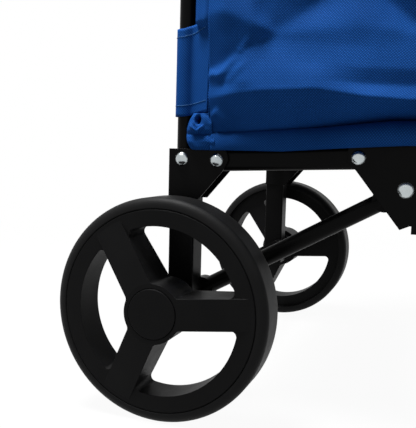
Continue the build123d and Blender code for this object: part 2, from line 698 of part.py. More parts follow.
def side_section(bulge, valley, crown, upper):
    """Upright cut through a side panel: heights in shares of the bag's height, the rest of FOLD_OUT."""
    low = ((0, 0), (BULGE_SHARE, bulge), valley, crown)
    folds = (*low, (UPPER_SHARE, upper), (TOP_SHARE, upper / 2), (1, 0))
    lines = []
    for y in (SIDE_LINE, SIDE_LINE - CLOTH):
        points = [(y + out * FOLD_OUT, BAG_BOTTOM + high * (BAG_TOP - BAG_BOTTOM)) for high, out in folds]
        lines.append(Spline(*points))
    outer, inner = lines
    return make_face([outer, Line(outer @ 1, inner @ 1), inner, Line(inner @ 0, outer @ 0)])


def side_panel():
    """Cloth side, flat at its two corner seams and hanging in folds above the rails between them."""
    seam = side_section(0, (0.26, 0), (0.4, 0), 0)
    stations = (
        (0.0, seam),
        (0.09, side_section(0.85, (0.26, 0.15), (0.355, 0.9), 0.2)),
        (0.25, side_section(1.05, (0.31, 0.25), (0.465, 1.0), 0.45)),
        (0.41, side_section(1.0, (0.235, 0.45), (0.34, 0.9), 0.4)),
        (0.55, side_section(1.0, (0.265, 0.35), (0.49, 0.6), 0.35)),
        (0.70, side_section(1.0, (0.265, 0.2), (0.375, 0.75), 0.4)),
        (0.88, side_section(0.75, (0.235, 0.1), (0.36, 0.75), 0.25)),
        (1.0, seam),
    )
    cuts = []
    for share, section in stations:
        x = REAR_X + SEAM_X + share * (WHEELBASE - 2 * SEAM_X)
        cuts.append(Plane((x, 0, 0), x_dir=(0, 1, 0), z_dir=(1, 0, 0)) * section)
    return loft(cuts, ruled=True)


rear_panel = end_panel()
side = side_panel()
rear_tabs = [post_tab(bottom) for bottom in (LOW_TAB_Z, HIGH_TAB_Z)]
rear_tabs += [to_right(one) for one in rear_tabs]
save("bag_rear_panel", rear_panel)
save("bag_front_panel", to_front(rear_panel))
save("bag_side_l", side)
save("bag_side_r", to_right(side))
save("rear_post_tabs", *rear_tabs)
save("front_post_tabs", *[to_front(one) for one in rear_tabs])

# Pull handle on the front cross tube
pivot_x = FRONT_X + HANDLE_PIVOT_OUT
ear_out = EAR_GAP + EAR_THICK
clamp = block(
    FRONT_X - CLAMP_BACK,
    FRONT_X + CLAMP_FRONT,
    -ear_out,
    ear_out,
    HANDLE_PIVOT_Z - CLAMP_HALF_Z,
    HANDLE_PIVOT_Z + CLAMP_HALF_Z,
)
ear_outline = SlotCenterToCenter(HANDLE_PIVOT_OUT, 2 * HANDLE_LUG_R)
ear_outline = Pos((FRONT_X + pivot_x) / 2, HANDLE_PIVOT_Z) * ear_outline
for y_low in (-ear_out, EAR_GAP):
    clamp += sheet_xz(ear_outline, y_low, y_low + EAR_THICK)
clamp -= across(CROSS_R + RUN, FRONT_X, LEG_RIVET_Z, -LEG, LEG)
clamp -= pin_hole(pivot_x, HANDLE_PIVOT_Z, -LEG, LEG)
save("handle_bracket", clamp)
handle_pin = rivet(HEAD_R, pivot_x, HANDLE_PIVOT_Z, -ear_out, ear_out)
save("handle_pivot_pin", handle_pin)


def on_handle(shape):
    """Take a piece drawn along Z from the pivot to the leaning rest pose."""
    return Pos(pivot_x, 0, HANDLE_PIVOT_Z) * Rot(0, -HANDLE_LEAN, 0) * shape


lug_half = EAR_GAP - SIDE_GAP
bore_r = INNER_R + RUN
lug = across(HANDLE_LUG_R, 0, 0, -lug_half, lug_half)
outer_tube = lug + upright(HANDLE_R, 0, 0, 0, HANDLE_LENGTH)
outer_tube -= upright(bore_r, 0, 0, HANDLE_LUG_R + SIDE_GAP, HANDLE_LENGTH)
outer_tube -= pin_hole(0, 0, -LEG, LEG)
inner_top = HANDLE_LENGTH + INNER_OUT
inner_tube = upright(INNER_R, 0, 0, INNER_START, inner_top)
grip = across(GRIP_R, 0, inner_top + GRIP_R / 2, -GRIP_LENGTH / 2, GRIP_LENGTH / 2)
grip = fillet(grip.edges(), GRIP_R / 2)
grip += upright(GRIP_R - CLOTH / 2, 0, 0, inner_top - GRIP_R, inner_top)
grip -= upright(INNER_R + RUN, 0, 0, inner_top - 2 * GRIP_R, inner_top)
save("handle_tube", on_handle(outer_tube))
save("handle_inner_tube", on_handle(inner_tube))
save("handle_grip", on_handle(grip))
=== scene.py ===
"""Looks of the folding cloth trolley: sewn bag, post tabs, materials, light and the camera."""

import json
import math

import bpy
import numpy as np
from mathutils import Matrix, Vector


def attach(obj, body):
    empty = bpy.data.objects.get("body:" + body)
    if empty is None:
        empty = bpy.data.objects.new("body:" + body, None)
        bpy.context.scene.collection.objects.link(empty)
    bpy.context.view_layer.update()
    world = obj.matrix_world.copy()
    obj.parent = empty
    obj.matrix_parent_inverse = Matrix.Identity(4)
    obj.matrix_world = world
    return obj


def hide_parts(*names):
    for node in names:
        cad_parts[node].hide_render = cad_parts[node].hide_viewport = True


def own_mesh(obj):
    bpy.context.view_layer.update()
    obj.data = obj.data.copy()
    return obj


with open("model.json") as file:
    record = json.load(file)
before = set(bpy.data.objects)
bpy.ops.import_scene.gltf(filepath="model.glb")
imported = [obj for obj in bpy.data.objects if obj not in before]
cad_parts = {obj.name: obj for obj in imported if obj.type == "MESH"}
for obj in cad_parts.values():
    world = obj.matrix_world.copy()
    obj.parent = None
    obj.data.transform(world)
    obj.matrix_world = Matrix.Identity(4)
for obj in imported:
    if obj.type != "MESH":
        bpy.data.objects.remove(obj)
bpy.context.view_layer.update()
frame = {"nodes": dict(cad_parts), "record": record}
nodes = frame["nodes"]

MM = 0.001
X, Y, Z = range(3)


# Helpers for sizes from the frame
def span_of(name, axis):
    """Low and high end of a node at rest along one axis, in millimetres to a tenth."""
    obj = nodes[name]
    places = [(obj.matrix_world @ Vector(corner))[axis] / MM for corner in obj.bound_box]
    return round(min(places), 1), round(max(places), 1)


def middle_of(name, axis):
    """Middle of a node at rest along one axis, in millimetres."""
    return sum(span_of(name, axis)) / 2


# Sizes taken from the frame, in millimetres
REAR_X = middle_of("rear_leg_l", X)
FRONT_X = middle_of("front_leg_l", X)
WHEELBASE = FRONT_X - REAR_X
MID_X = REAR_X + WHEELBASE / 2
LEG_Y = middle_of("rear_leg_l", Y)
POST_OUT = round(REAR_X - middle_of("rear_hoop", X), 1)
BAG_FOOT, BAG_TOP = span_of("bag_rear_panel", Z)
BOARD_TOP = max(span_of("centre_floor_board", Z))
TAB_HEIGHT = 80.0
TABS_FOOT, TABS_TOP = span_of("rear_post_tabs", Z)
TAB_LEVELS = (TABS_FOOT, TABS_TOP - TAB_HEIGHT)

# Ends and sides of the trolley: name, whether it is the front, and its body; name and sign of Y
ENDS = (("rear", False, "rear_frame"), ("front", True, "front_frame"))
SIDES = (("l", 1), ("r", -1))

# Sewn bag: its corner seams, in from the legs along X and out from them along Y, and its end panels
SEAM_X = 27.0
SEAM_SPAN = WHEELBASE - 2 * SEAM_X
SIDE_OUT = 18.0
SIDE_LINE = LEG_Y + SIDE_OUT
PANEL_IN = 13.5
PANEL_INSET = 13.0
PANEL_HALF_Y = LEG_Y - PANEL_INSET
PANEL_CLEAR = 0.1
PANEL_FOOT = BAG_FOOT + PANEL_CLEAR

# Cloth thickness, the hem turned in at the top, and the lean of the corner seams near the bottom
CLOTH_THICK = 1.2
HEM_DEPTH = 18.0
HEM_GAP = 4.0
HEM_FLAT_SHARE = 0.7
HEM_CROWN = 2.0
SEAM_DRIFT = 2.4
SEAM_DRIFT_Z = 310.0
SEAM_DRIFT_SPAN = 40.0
SEAM_DRIFT_POWER = 1.5

# Grid of a bag side: its columns, and the rows of the sheet, the rolled edge and the hem
SIDE_COLUMNS = 261
SIDE_ROWS = 300
ROLL_ROWS = 40
HEM_ROWS = 12

# Fold lines of a bag side: distance along the trolley, from the rear legs on the right side and from the
# front legs on the left, height, and how far the cloth stands out from the line between its two seams
FOLD_LINES = (
    ((27, 257, -3), (60, 258, -4), (118, 262, -4), (135, 263.5, -9), (185, 269, -14), (240, 270, -14),
     (305, 265.5, -9), (322, 264, -4), (413, 257, -3)),
    ((27, 259, -2), (60, 260.5, -1), (121, 265.5, 1), (185, 273.5, 2), (240, 274.5, 2), (320, 267, 1),
     (413, 259, -2)),
    ((27, 288, 3), (34, 288.5, 6.5), (38, 289, 9), (50, 290, 15), (78, 292, 21), (126, 293, 23),
     (165, 286.5, 23), (204, 282.5, 22), (260, 289, 22), (330, 293, 20), (395, 289, 12), (413, 288, 3)),
    ((27, 299, 1.5), (34, 298, 5), (40, 299, 7), (50, 301, 12), (60, 301, 17), (126, 302, 20),
     (165, 297, 17.5), (204, 295.5, 16), (260, 300, 17), (330, 302, 15), (413, 299, 1.5)),
    ((27, 307, 2.5), (34, 307.5, 6.5), (40, 308, 9), (60, 314, 13.5), (126, 315, 15.5), (165, 310, 18.2),
     (204, 308, 17.4), (260, 313, 12), (330, 313, 10), (413, 307, 2.5)),
    ((27, 314, 1), (42, 319, 5), (54, 327, 7), (62, 331, 9), (89, 337.5, 8), (131, 331, 12), (175, 326, 15),
     (201, 326, 14.5), (240, 328, 8), (280, 334, 5), (350, 328, 3), (413, 314, 1)),
    ((27, 338, 4), (42, 344, 9), (68, 342.5, 12.5), (82, 340.5, 9.5), (89, 339.5, 8), (123, 343, 9.8),
     (160, 343, 13), (185, 340, 13.5), (201, 336, 12.5), (215, 333, 9), (290, 350, 11), (370, 350, 10),
     (413, 338, 4)),
    ((27, 360, 7), (42, 361, 13.5), (68, 350, 14.5), (78, 345.5, 13), (84, 342.5, 10), (89, 341.5, 7.5),
     (123, 368, 2), (155, 392, 2), (179, 365, 3), (201, 347, 6), (215, 340, 8), (250, 372, 6),
     (290, 376, 12), (370, 362, 13), (413, 360, 7)),
    ((27, 380, 5), (42, 380, 11), (68, 372, 9.5), (76, 361, 7), (86, 345, 7), (89, 346, 6.5), (123, 378, 4),
     (155, 402, 3), (179, 380, 6), (201, 362, 10), (215, 358, 11), (250, 388, 7), (290, 389, 8),
     (370, 379, 8), (413, 380, 4)),
    ((27, 402, 3), (42, 402, 9), (68, 396, 5), (89, 388, 8), (123, 402, 8), (155, 425, 4), (179, 398, 9),
     (201, 380, 16), (215, 378, 15), (250, 404, 7), (290, 402, 4), (370, 396, 4), (413, 402, 2)),
    ((27, 440, 1), (89, 436, 3), (160, 455, 3), (240, 450, 4), (330, 440, 4), (413, 440, 1)),
    ((27, 510, 0), (120, 515, 3), (220, 505, 4), (330, 515, 3), (413, 510, 0)),
    ((27, 580, 0), (220, 574, 2), (413, 580, 0)),
)

# Smoothing of the folds in grid steps, down and along: crisp low down, softer above a height
CRISP_BLUR = (1.3, 1.7)
SOFT_BLUR = (2.3, 2.0)
SOFT_FOLDS_Z = 312.0
SOFT_FOLDS_RAMP = 12.0

# Ripples over a bag side: height, size in grid steps, seed, and the strip beside a seam that stays flat
RIPPLE = 0.5
RIPPLE_SIZE = 9
RIPPLE_SEED = 4
SEAM_HOLD = 30.0

# Small gathers beside the seam: start, end (along and up), height and width
PUCKERS = (
    (27, 310, 40, 304.5, 1.5, 2.4),
    (36, 304, 57, 325, 1.6, 2.6),
    (46, 299, 66, 320, 0.8, 2.4),
    (55, 325, 70, 341, 1.2, 2.2),
    (29, 277, 46, 261, 3.0, 4.0),
)
PUCKER_START = 4.0
PUCKER_END = 9.0

# Rolled bottom edge of a bag side: distance along the trolley and height of its underside, then how far
# it stands out, how it starts at the seams and in the crease, its waves, and its end tucked up behind
ROLL_BOTTOM = (
    (27, 242.2),
    (94, 242.4),
    (150, 246.5),
    (198, 249.3),
    (242, 249.3),
    (290, 246.5),
    (346, 242.4),
    (413, 242.2),
)
ROLL_OUT = 7.0
ROLL_RAMP = 80.0
ROLL_AT_SEAM = 0.15
ROLL_HALF_TURNS = 1.12
ROLL_WAVE = 0.18
ROLL_WAVE_SIZE = 14
ROLL_SEED = 9
CREASE_POWER = 5
ROLL_TUCK_FROM = 0.9
ROLL_TUCK_UP = 0.9

# Bag end: plan of one half (distance from the middle, distance in from the legs), grid and ripples
END_LAP = 0.5
END_PLAN = (
    (0.0, PANEL_IN),
    (140.0, PANEL_IN),
    (160.0, 12.2),
    (186.0, 10.8),
    (191.5, 11.4),
    (194.2, 14.5),
    (SIDE_LINE, SEAM_X + END_LAP),
)
END_BEND_Y = 180.0
END_FLAT_COLUMNS = 80
END_BEND_COLUMNS = 40
END_ROWS = 130
END_HEM_ROWS = 10
END_RIPPLE = 3.0
END_RIPPLE_SIZE = 11
END_SAG = 2.0
END_SEED = 21

# Corner of the bag: drawn in by the tabs beside it and tucked in below a height
CORNER_PULL = 5.0
CORNER_TUCK = 11.0
CORNER_TUCK_Z = 279.0
CORNER_TUCK_RAMP = 6.0
CORNER_RAMP = 20.0
CORNER_ROOM = 6.0
TAB_PULL_OVER = 3.0
TAB_PULL_TOP_RAMP = 4.0
TAB_PULL_FOOT_RAMP = 3.0

# Tab: rise of its edges at the seam, loop round the post, laps over the seam, grid steps and ripples
TAB_SLANT_LOW = 4.0
TAB_SLANT_HIGH = 8.5
TAB_LOOP_R = 9.7
TAB_PINCH = (9.0, 6.6)
TAB_PINCH_ANGLE = 40.0
TAB_OUTER_LAP = (0.5, 0.8)
TAB_INNER_LAP = (-1.0, -3.0)
TAB_OUTER_STEPS = 14
TAB_LOOP_STEPS = 60
TAB_INNER_STEPS = 10
TAB_ROWS = 33
TAB_PLAN_BLUR = (1.6, 0.01)
TAB_RIPPLE = 0.0105
TAB_RIPPLE_SIZE = 5
TAB_SEED = 40

# Stitches of a tab: size, then the grid rows they follow and the columns they leave free at the ends
STITCH_LENGTH = 3.2
STITCH_PITCH = 3.8
STITCH_START = 1.0
STITCH_R = 0.3
STITCH_ROWS = (("low", 4), ("high", -4))
STITCH_COLUMNS = slice(1, -14)

# Gathered corner of the bag: share down the piece, height, and how far it stands out
LOBE_PROFILE = (
    (0.0, 274.5, -2.5),
    (0.15, 271.0, 0.2),
    (0.35, 265.0, 1.0),
    (0.52, 259.0, 0.6),
    (0.60, 256.0, -2.5),
    (0.68, 254.0, 0.0),
    (0.82, 249.0, 2.0),
    (0.93, 244.0, 1.0),
    (1.0, 241.9, -1.5),
)
LOBE_ROWS = 100
LOBE_COLUMNS = 80
LOBE_BLUR = (2.2, 1.0)
# Its rounded outer end, and its edge lapped under the bag side
LOBE_TIP_X = 3.6
LOBE_WIDEST_Z = 254.5
LOBE_TIP_BACK = 4.0
LOBE_HALF = (16.0, 11.0)
LOBE_ROUND = 9.0
LOBE_INSIDE = -8.6
LOBE_LAP = 1.0
LOBE_TUCK = 3.0
LOBE_TUCK_IN = 1.0
LOBE_JOIN_Z = 257.0
LOBE_JOIN_RAMP = 4.0
# Its pinched fold: the hollow's place, depth, half sizes and steepness, then the ridge round its foot
LOBE_HOLLOW = (16.7, 268.5)
LOBE_HOLLOW_DEPTH = 13.0
LOBE_HOLLOW_HALF = (2.3, 3.2)
LOBE_HOLLOW_POWER = 4
LOBE_RIDGE = ((9.6, 263.7), (16.1, 257.8), (22.1, 262.7))
LOBE_RIDGE_HEIGHT = 2.6
LOBE_RIDGE_WIDTH = 1.1
LOBE_RIDGE_FADE = 1.0
LOBE_RIPPLE = 0.4
LOBE_RIPPLE_SIZE = 6
LOBE_SEED = 60

# Pull strap
STRAP_LENGTH = 130.0
STRAP_WIDTH = 28.0
STRAP_THICK = 1.6
STRAP_RISE = 8.0
STRAP_SEWN = 28.0
STRAP_CLEAR = 0.1
STRAP_ROWS = 90
STRAP_COLUMNS = 16

# Camera, found from the wheel outlines in the photograph
IMAGE_WIDTH = 416
IMAGE_HEIGHT = 428
FOCAL_PX = 657.88
SENSOR = 36.0
CAMERA_AT = (30.45, -757.43, 238.63)
CAMERA_YAW = -0.3446
CAMERA_PITCH = -0.0919
CAMERA_ROLL = 0.0255
CAMERA_NEAR = 0.01
CAMERA_FAR = 50.0

# Surfaces: edge rounding that shows in the light, noise scales and details, and grain depth in metres
EDGE_ROUND = 0.8
NOISE_ENDS = (0.35, 0.65)
COLOUR_NOISE = (35.0, 4.0)
GLOSS_NOISE = (60.0, 3.0)
GRAIN_DETAIL = 3.0
GRAIN_DEPTH = 0.0004

# Weave: thread spacing and directions, unevenness, shade between and on the threads, relief and gloss
WEAVE_PITCH = 1.7
WEAVE_TURNS = (0.70, -0.87)
WEAVE_WOBBLE = 0.6
WEAVE_WOBBLE_SCALE = 40.0
WEAVE_SHADES = (0.72, 1.75)
WEAVE_RELIEF = 0.35
WEAVE_DEPTH = 0.0005
WAVE_NODE_PHASE = 20.0
CLOTH_NOISE = (16.0, 5.0)
CLOTH_ROUGH = 0.62
CLOTH_SHINE = 0.02

# Lamps, in metres and watts
KEY_LAMP = {"place": (-0.7, -0.5, 2.35), "target": (-0.05, -0.2, 0.25), "size": 0.7, "power": 90.0}
RIM_LAMP = {"place": (1.4, 0.9, 1.3), "target": (0.0, 0.0, 0.25), "size": 0.9, "power": 6.0}

# World and floor: fill light, floor size in metres, its tones, its bounce, and how it fades into white
WORLD_FILL = 0.14
FLOOR_HALF = 6.0
FLOOR_DARK = (0.86, 0.86, 0.86)
FLOOR_LIGHT = (0.89, 0.89, 0.89)
FLOOR_NOISE = (4.0, 2.0)
FLOOR_BOUNCE = 0.25
FLOOR_ROUGH = 0.9
FLOOR_SHINE = 0.1
FLOOR_WHITE = 0.95
FLOOR_FADE = (0.5, 1.6)


# Helpers for grids of points
def ramp(distance, span):
    """Share of a span that a distance covers, held between 0 and 1."""
    return np.clip(distance / span, 0, 1)


def curve_at(places, points, column):
    """Values at some places along a list of given points, straight between them."""
    table = np.array(points, float)
    return np.interp(places, table[:, 0], table[:, column])


def along_x(distance, front):
    """X of a distance in from the rear or the front legs."""
    return FRONT_X - distance if front else REAR_X + distance


def blur(field, sigma_rows, sigma_columns):
    """Gaussian smoothing of a grid, with its edges held."""
    for axis, sigma in ((0, sigma_rows), (1, sigma_columns)):
        reach = int(3 * sigma) + 1
        kernel = np.exp(-0.5 * (np.arange(-reach, reach + 1) / sigma) ** 2)
        kernel /= kernel.sum()
        pads = [(0, 0), (0, 0)]
        pads[axis] = (reach, reach)
        padded = np.pad(field, pads, mode="edge")
        field = np.apply_along_axis(lambda row: np.convolve(row, kernel, mode="valid"), axis, padded)
    return field


def soft_noise(shape, sigma, seed):
    """Smooth seeded noise with unit spread."""
    raw = blur(np.random.default_rng(seed).normal(size=shape), sigma, sigma)
    return raw / raw.std()


def grid_points(x, y, z):
    """Grid of points from three grids of coordinates, any of which may be a single row or column."""
    return np.stack(np.broadcast_arrays(x, y, z), axis=-1)


def flat_map(points):
    """Cloth coordinates of a grid: lengths measured along its rows and columns."""
    across = np.linalg.norm(np.diff(points, axis=1), axis=2).mean(axis=0)
    down = np.linalg.norm(np.diff(points, axis=0), axis=2).mean(axis=1)
    u = np.concatenate([[0], np.cumsum(across)])
    v = np.concatenate([[0], np.cumsum(down)])
    uv = np.stack(np.meshgrid(u, v), axis=-1)
    return uv, (u[-1] * MM, v[-1] * MM)


# Helpers for pieces
def grid_object(name, points, uv):
    """Mesh from a grid of points in millimetres, with smooth faces and a flat cloth map in metres."""
    rows, columns = points.shape[:2]
    index = np.arange(rows * columns).reshape(rows, columns)
    corners = (index[:-1, :-1], index[:-1, 1:], index[1:, 1:], index[1:, :-1])
    quads = np.stack(corners, axis=-1).reshape(-1, 4)
    mesh = bpy.data.meshes.new(name)
    mesh.from_pydata((points.reshape(-1, 3) * MM).tolist(), [], quads.tolist())
    layer = mesh.uv_layers.new(name="cloth")
    flat = (uv.reshape(-1, 2) * MM)[quads.reshape(-1)]
    layer.data.foreach_set("uv", flat.astype(np.float32).ravel())
    mesh.polygons.foreach_set("use_smooth", [True] * len(quads))
    return add_object(name, mesh)


def add_object(name, data):
    """New object in the scene."""
    obj = bpy.data.objects.new(name, data)
    bpy.context.scene.collection.objects.link(obj)
    return obj


def final_mesh(obj):
    """Mesh of an object with its modifiers or curve thickness worked in."""
    return bpy.data.meshes.new_from_object(obj.evaluated_get(bpy.context.evaluated_depsgraph_get()))


def thicken(obj, thickness):
    """Give a sheet its cloth thickness and make that the mesh."""
    solid = obj.modifiers.new("thickness", "SOLIDIFY")
    solid.thickness = thickness * MM
    solid.offset = 0.0
    mesh = final_mesh(obj)
    obj.modifiers.clear()
    obj.data = mesh
    return obj


def paint(obj, material):
    """One material for the whole piece."""
    obj.data.materials.clear()
    obj.data.materials.append(material)


# Helpers for materials
def new_material(name):
    """Empty node material; returns it with its tree and shader."""
    material = bpy.data.materials.new(name)
    material.use_nodes = True
    tree = material.node_tree
    shader = tree.nodes["Principled BSDF"]
    return material, tree, shader


def add_noise(tree, vector, scale, detail):
    """Noise value over a vector."""
    noise = tree.nodes.new("ShaderNodeTexNoise")
    noise.inputs["Scale"].default_value = scale
    noise.inputs["Detail"].default_value = detail
    tree.links.new(vector, noise.inputs["Vector"])
    return noise.outputs["Fac"]


def between(tree, value, dark, light):
    """Colour between a dark and a light one by a noise value."""
    colours = tree.nodes.new("ShaderNodeValToRGB")
    for element, position, colour in zip(colours.color_ramp.elements, NOISE_ENDS, (dark, light)):
        element.position = position
        element.color = (*colour, 1)
    tree.links.new(value, colours.inputs["Fac"])
    return colours.outputs["Color"]


def calculate(tree, operation, first, second):
    """Result of one calculation on two values."""
    node = tree.nodes.new("ShaderNodeMath")
    node.operation = operation
    tree.links.new(first, node.inputs[0])
    tree.links.new(second, node.inputs[1])
    return node.outputs["Value"]


def spread(tree, value, low, high, start=0.0, stop=1.0):
    """Map a value from one range, 0 to 1 if none is given, to another."""
    mapped = tree.nodes.new("ShaderNodeMapRange")
    mapped.inputs["From Min"].default_value = start
    mapped.inputs["From Max"].default_value = stop
    mapped.inputs["To Min"].default_value = low
    mapped.inputs["To Max"].default_value = high
    tree.links.new(value, mapped.inputs["Value"])
    return mapped.outputs["Result"]


def add_bump(tree, shader, height, strength, distance):
    """Bump from a height value, over edges that catch the light as if slightly rounded."""
    rounded = tree.nodes.new("ShaderNodeBevel")
    rounded.samples = 4
    rounded.inputs["Radius"].default_value = EDGE_ROUND * MM
    bump = tree.nodes.new("ShaderNodeBump")
    tree.links.new(rounded.outputs["Normal"], bump.inputs["Normal"])
    bump.inputs["Strength"].default_value = strength
    bump.inputs["Distance"].default_value = distance
    tree.links.new(height, bump.inputs["Height"])
    tree.links.new(bump.outputs["Normal"], shader.inputs["Normal"])


def grained(name, dark, light, rough, grain_scale, grain, metallic=0.0, specular=0.5):
    """Paint, moulded plastic, rubber or metal with fine grain and uneven gloss."""
    material, tree, shader = new_material(name)
    where = tree.nodes.new("ShaderNodeTexCoord").outputs["Object"]
    colour = between(tree, add_noise(tree, where, *COLOUR_NOISE), dark, light)
    tree.links.new(colour, shader.inputs["Base Color"])
    gloss = spread(tree, add_noise(tree, where, *GLOSS_NOISE), *rough)
    tree.links.new(gloss, shader.inputs["Roughness"])
    shader.inputs["Metallic"].default_value = metallic
    shader.inputs["Specular IOR Level"].default_value = specular
    add_bump(tree, shader, add_noise(tree, where, grain_scale, GRAIN_DETAIL), grain, GRAIN_DEPTH)
    return material


def thread_height(tree, vector, turn):
    """Height of the threads that run in one direction."""
    turned = tree.nodes.new("ShaderNodeMapping")
    turned.inputs["Rotation"].default_value = (0, 0, turn)
    tree.links.new(vector, turned.inputs["Vector"])
    wave = tree.nodes.new("ShaderNodeTexWave")
    wave.inputs["Scale"].default_value = math.tau / (WAVE_NODE_PHASE * WEAVE_PITCH * MM)
    wave.inputs["Distortion"].default_value = WEAVE_WOBBLE
    wave.inputs["Detail Scale"].default_value = WEAVE_WOBBLE_SCALE
    tree.links.new(turned.outputs["Vector"], wave.inputs["Vector"])
    return wave.outputs["Fac"]


def woven(name, dark, light):
    """Coated woven cloth: two thread directions over a slow change of colour."""
    material, tree, shader = new_material(name)
    where = tree.nodes.new("ShaderNodeUVMap")
    where.uv_map = "cloth"
    vector = where.outputs["UV"]
    weave = calculate(tree, "MULTIPLY", *[thread_height(tree, vector, turn) for turn in WEAVE_TURNS])
    threads = tree.nodes.new("ShaderNodeMix")
    threads.data_type = "RGBA"
    threads.blend_type = "MULTIPLY"
    threads.inputs["Factor"].default_value = 1.0
    slow = between(tree, add_noise(tree, vector, *CLOTH_NOISE), dark, light)
    tree.links.new(slow, threads.inputs["A"])
    tree.links.new(spread(tree, weave, *WEAVE_SHADES), threads.inputs["B"])
    tree.links.new(threads.outputs["Result"], shader.inputs["Base Color"])
    shader.inputs["Roughness"].default_value = CLOTH_ROUGH
    shader.inputs["Specular IOR Level"].default_value = CLOTH_SHINE
    add_bump(tree, shader, weave, WEAVE_RELIEF, WEAVE_DEPTH)
    return material


# Materials: dark and light colour, range of roughness, scale and strength of the grain
black_paint = grained(
    "black_paint", (0.0016, 0.0016, 0.0017), (0.0023, 0.0023, 0.0024), (0.32, 0.44), 900.0, 0.12,
    specular=0.055,
)
black_plastic = grained(
    "black_plastic", (0.0030, 0.0030, 0.0032), (0.0044, 0.0044, 0.0046), (0.42, 0.56), 1400.0, 0.25,
    specular=0.075,
)
black_tyre = grained(
    "black_tyre", (0.0038, 0.0038, 0.0040), (0.0056, 0.0056, 0.0058), (0.45, 0.6), 1100.0, 0.3,
    specular=0.10,
)
rivet_chrome = grained(
    "rivet_chrome", (0.40, 0.44, 0.45), (0.54, 0.58, 0.59), (0.18, 0.28), 700.0, 0.05,
    metallic=1.0,
)
zinc = grained(
    "zinc", (0.42, 0.43, 0.44), (0.55, 0.56, 0.57), (0.28, 0.42), 500.0, 0.15,
    metallic=1.0,
)
alloy = grained(
    "alloy", (0.5, 0.51, 0.52), (0.62, 0.63, 0.64), (0.24, 0.36), 600.0, 0.1,
    metallic=1.0,
)
grip_rubber = grained(
    "grip_rubber", (0.007, 0.007, 0.007), (0.011, 0.011, 0.011), (0.6, 0.75), 800.0, 0.5,
    specular=0.15,
)
hardboard = grained(
    "hardboard", (0.012, 0.012, 0.014), (0.02, 0.02, 0.023), (0.55, 0.7), 260.0, 0.4,
    specular=0.2,
)
webbing = grained(
    "webbing", (0.008, 0.008, 0.009), (0.014, 0.014, 0.015), (0.7, 0.85), 420.0, 0.7,
    specular=0.1,
)
blue_thread = grained(
    "blue_thread", (0.05, 0.17, 0.40), (0.07, 0.21, 0.46), (0.6, 0.7), 900.0, 0.2,
    specular=0.1,
)
blue_cloth = woven("blue_cloth", (0.0088, 0.066, 0.272), (0.0122, 0.084, 0.338))

slot_material = {
    "frame_black": black_paint,
    "rivet_chrome": rivet_chrome,
    "zinc_steel": zinc,
    "tyre_black": black_tyre,
    "wheel_plastic": black_plastic,
    "cloth_blue": blue_cloth,
    "strap_black": webbing,
    "floor_board": hardboard,
    "grip_black": grip_rubber,
    "handle_alloy": alloy,
}
for row in frame["record"]["subparts"]:
    paint(nodes[row["node"]], slot_material[row["material_slot"]])


def cloth_piece(name, points):
    """Sheet of blue cloth from a grid of points; its cut size is worked out but not used."""
    uv, cut = flat_map(points)
    obj = thicken(grid_object(name, points, uv), CLOTH_THICK)
    paint(obj, blue_cloth)
    return obj


# Bag sides
def seam_drift(z):
    """How far the corner seams lean in towards the middle near the bottom."""
    return SEAM_DRIFT * ramp(SEAM_DRIFT_Z - z, SEAM_DRIFT_SPAN) ** SEAM_DRIFT_POWER


def folded(look, z):
    """How far a bag side stands out by its fold lines."""
    line_z = np.array([curve_at(look, line, 1) for line in FOLD_LINES])
    line_out = np.array([curve_at(look, line, 2) for line in FOLD_LINES])
    out = np.empty_like(z)
    for column in range(len(look)):
        out[:, column] = np.interp(z[:, column], line_z[:, column], line_out[:, column])
    crisp = blur(out, *CRISP_BLUR)
    soft = blur(out, *SOFT_BLUR)
    return crisp + (soft - crisp) * ramp(z - SOFT_FOLDS_Z, SOFT_FOLDS_RAMP)


def gathered(look, z):
    """How far the small gathers beside the seam stand out from the folds."""
    out = np.zeros_like(z)
    for x0, z0, x1, z1, height, width in PUCKERS:
        along = np.array((x1 - x0, z1 - z0), float)
        length = np.hypot(*along)
        along /= length
        run = (look[None, :] - x0) * along[0] + (z - z0) * along[1]
        away = -(look[None, :] - x0) * along[1] + (z - z0) * along[0]
        fade = ramp(run, PUCKER_START) * ramp(length - run, PUCKER_END)
        out += height * fade * np.exp(-0.5 * (away / width) ** 2)
    return out


def turned_hem(top_out):
    """Height and stand-out of the hem, from its edge inside the bag up to the top."""
    turn = np.linspace(0, 1, HEM_ROWS)[:-1, None]
    flat = turn < HEM_FLAT_SHARE
    over = (turn - HEM_FLAT_SHARE) / (1 - HEM_FLAT_SHARE)
    inside = BAG_TOP - HEM_DEPTH * (1 - turn / HEM_FLAT_SHARE)
    z = np.where(flat, inside, BAG_TOP + HEM_CROWN * np.sin(np.pi * over))
    out = top_out[None, :] - HEM_GAP * np.where(flat, 1, 1 - over)
    return np.broadcast_to(z, out.shape), out


def rolled_edge(look, from_seam, crease, crease_out, seed):
    """Height and stand-out of the rolled bottom edge, from the crease round to its end behind."""
    turns = np.linspace(0, 1, ROLL_ROWS)[1:, None]
    angle = np.pi * turns * ROLL_HALF_TURNS
    bottom = curve_at(look, ROLL_BOTTOM, 1)
    middle = (crease + bottom) / 2
    half = (crease - bottom) / 2
    z = middle[None, :] + half[None, :] * np.cos(np.minimum(angle, np.pi))
    z += ROLL_TUCK_UP * np.maximum(turns - ROLL_TUCK_FROM, 0) / (1 - ROLL_TUCK_FROM)
    wave = 1 + ROLL_WAVE * soft_noise((1, len(look)), ROLL_WAVE_SIZE, seed)
    full = ROLL_AT_SEAM + (1 - ROLL_AT_SEAM) * ramp(from_seam, ROLL_RAMP)[None, :]
    out = crease_out[None, :] * (1 - turns) ** CREASE_POWER + ROLL_OUT * full * wave * np.sin(angle)
    return z, out


